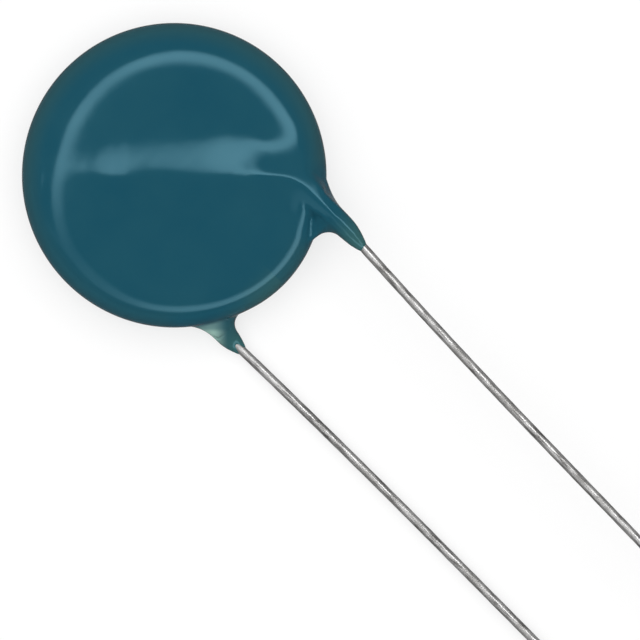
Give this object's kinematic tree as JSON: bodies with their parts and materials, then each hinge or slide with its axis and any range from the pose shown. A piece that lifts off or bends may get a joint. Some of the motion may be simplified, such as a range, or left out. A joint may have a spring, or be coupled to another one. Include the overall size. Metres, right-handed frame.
{
  "type": "ceramic disc capacitor",
  "caption": "Flat round ceramic capacitor in a glossy dipped coating, with straight tinned wire leads for soldering into a circuit board.",
  "frame": {"origin": "centre of the disc's flat rear face", "axes": "+Z along the disc's axis to the front face, which faces up as it lies; the leads point along -Y; +X is the side of the lead on the front face"},
  "size_m": [0.0196, 0.0518, 0.0045],
  "materials": {
    "coating": "dipped resin coating, teal blue, glossy",
    "ceramic": "fired ceramic, matt, hidden inside",
    "silver": "fired silver layer, satin, hidden inside",
    "solder": "solder, satin, hidden inside",
    "tinned_wire": "hot-tinned wire, satin with lengthwise streaks"
  },
  "bodies": {
    "root": {"coating": "coating", "ceramic_disc": "ceramic", "front_electrode": "silver", "rear_electrode": "silver", "front_solder_joint": "solder", "rear_solder_joint": "solder", "front_lead": "tinned_wire", "rear_lead": "tinned_wire"}
  },
  "joints": []
}
